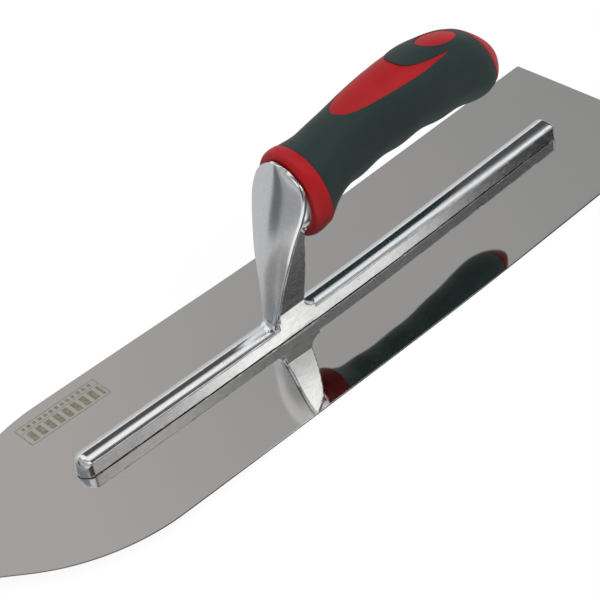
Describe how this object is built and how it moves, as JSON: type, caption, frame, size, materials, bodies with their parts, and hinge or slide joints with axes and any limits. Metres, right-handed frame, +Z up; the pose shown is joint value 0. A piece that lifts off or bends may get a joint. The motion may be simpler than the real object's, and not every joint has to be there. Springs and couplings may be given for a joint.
{
  "type": "pointed flooring trowel",
  "caption": "Pointed finishing trowel: long polished steel blade with a leaf-shaped nose, cast aluminium back bar and post, and a curved two-colour soft-grip handle.",
  "frame": {"origin": "under the middle of the blade's length and width, at the blade's lowest point, on the surface the trowel rests on", "axes": "+X towards the pointed nose, +Y to the left seen from behind the handle, +Z up from the working face to the handle"},
  "size_m": [0.457, 0.1142, 0.1104],
  "materials": {
    "blade_steel": "ground and polished stainless steel, close to a mirror, with fine lengthwise grain",
    "cast_aluminium": "polished casting, bright with slight casting texture on the flat sides",
    "rivet_steel": "ground flush with the blade",
    "red_plastic": "satin moulded hard plastic",
    "soft_grip": "matte soft-touch overmould, dark grey-green",
    "plated_steel": "zinc plated"
  },
  "bodies": {
    "root": {"blade": "blade_steel", "mounting_casting": "cast_aluminium", "blade_rivet_1": "rivet_steel", "blade_rivet_2": "rivet_steel", "blade_rivet_3": "rivet_steel", "blade_rivet_4": "rivet_steel", "blade_rivet_5": "rivet_steel", "blade_rivet_6": "rivet_steel", "blade_rivet_7": "rivet_steel", "handle_core": "red_plastic", "soft_grip": "soft_grip", "end_cap": "red_plastic", "tang_rod": "plated_steel", "handle_washer": "plated_steel", "handle_nut": "plated_steel"}
  },
  "joints": []
}
